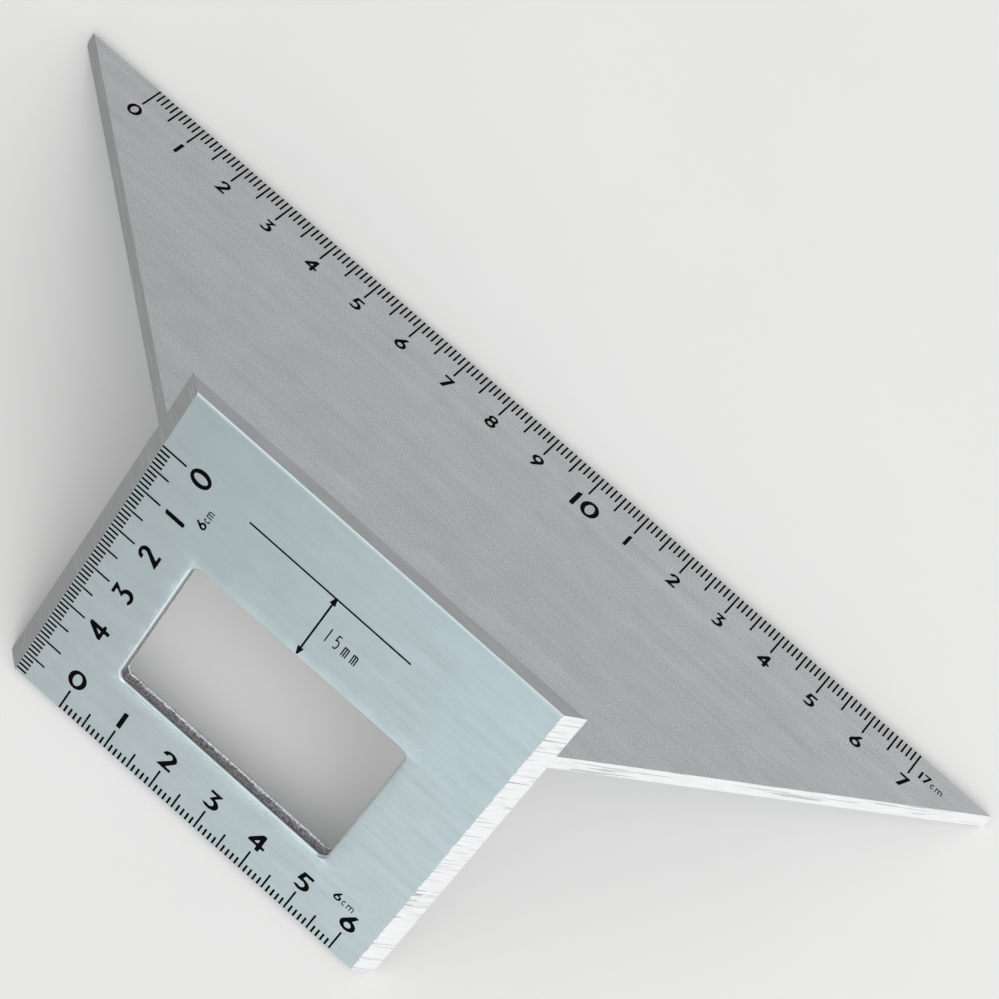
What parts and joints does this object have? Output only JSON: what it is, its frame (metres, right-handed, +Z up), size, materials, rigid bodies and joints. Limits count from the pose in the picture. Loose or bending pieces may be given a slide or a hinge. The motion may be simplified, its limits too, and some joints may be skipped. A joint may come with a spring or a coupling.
{
  "type": "mitre square",
  "caption": "Mitre square: a flat aluminium blade with 45 degree ends and a shorter fence across its root, with a pencil window and printed millimetre scales.",
  "frame": {"origin": "centre of the bounding box on the surface that the square rests on, under the inner corner of fence and blade", "axes": "+X along the extrusion and its scales, +Y from the fence towards the blade's long edge, +Z up"},
  "size_m": [0.201, 0.0888, 0.0535],
  "materials": {
    "satin_aluminium": "satin, with fine die lines along the extrusion and bright saw-cut ends",
    "black_ink": "matt printed ink"
  },
  "bodies": {
    "root": {"fence": "satin_aluminium", "blade": "satin_aluminium", "blade_scale": "black_ink", "fence_lower_scale": "black_ink", "fence_side_scale": "black_ink", "gauge_mark": "black_ink"}
  },
  "joints": []
}
